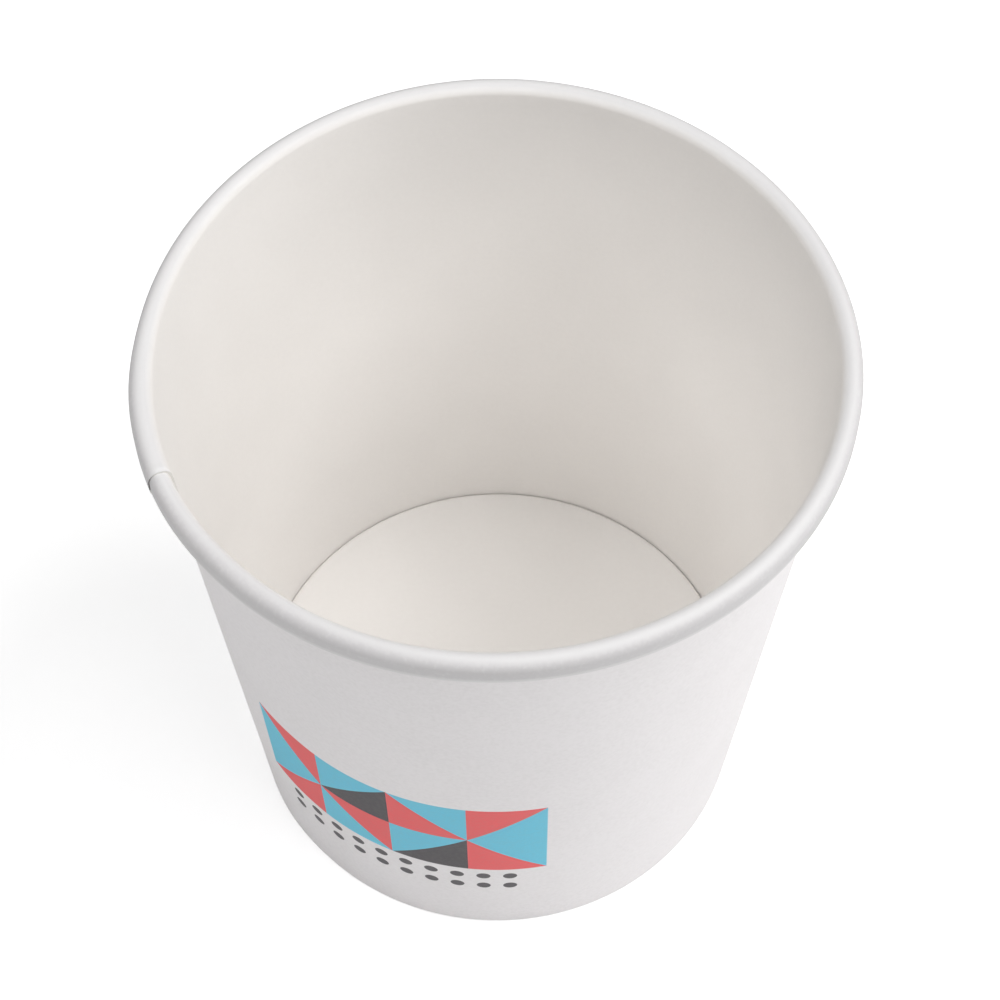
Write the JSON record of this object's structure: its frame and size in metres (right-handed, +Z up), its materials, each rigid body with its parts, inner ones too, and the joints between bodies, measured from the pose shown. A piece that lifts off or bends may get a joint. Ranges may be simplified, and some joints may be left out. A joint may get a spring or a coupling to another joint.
{
  "type": "paper hot cup",
  "caption": "Small single-wall paper hot cup: tapered wall with a lapped side seam, a rolled rim and a folded foot that holds a recessed bottom disc.",
  "frame": {"origin": "on the table below the centre of the foot", "axes": "+Z up along the cup's axis, -Y towards the front, with the side seam at the left"},
  "size_m": [0.0622, 0.062, 0.0632],
  "materials": {
    "wall_board": "matte white cupboard, bare outside and coated inside",
    "disc_board": "matte white cupboard with a satin coating on top"
  },
  "bodies": {
    "root": {"sidewall": "wall_board", "bottom_disc": "disc_board"}
  },
  "joints": []
}
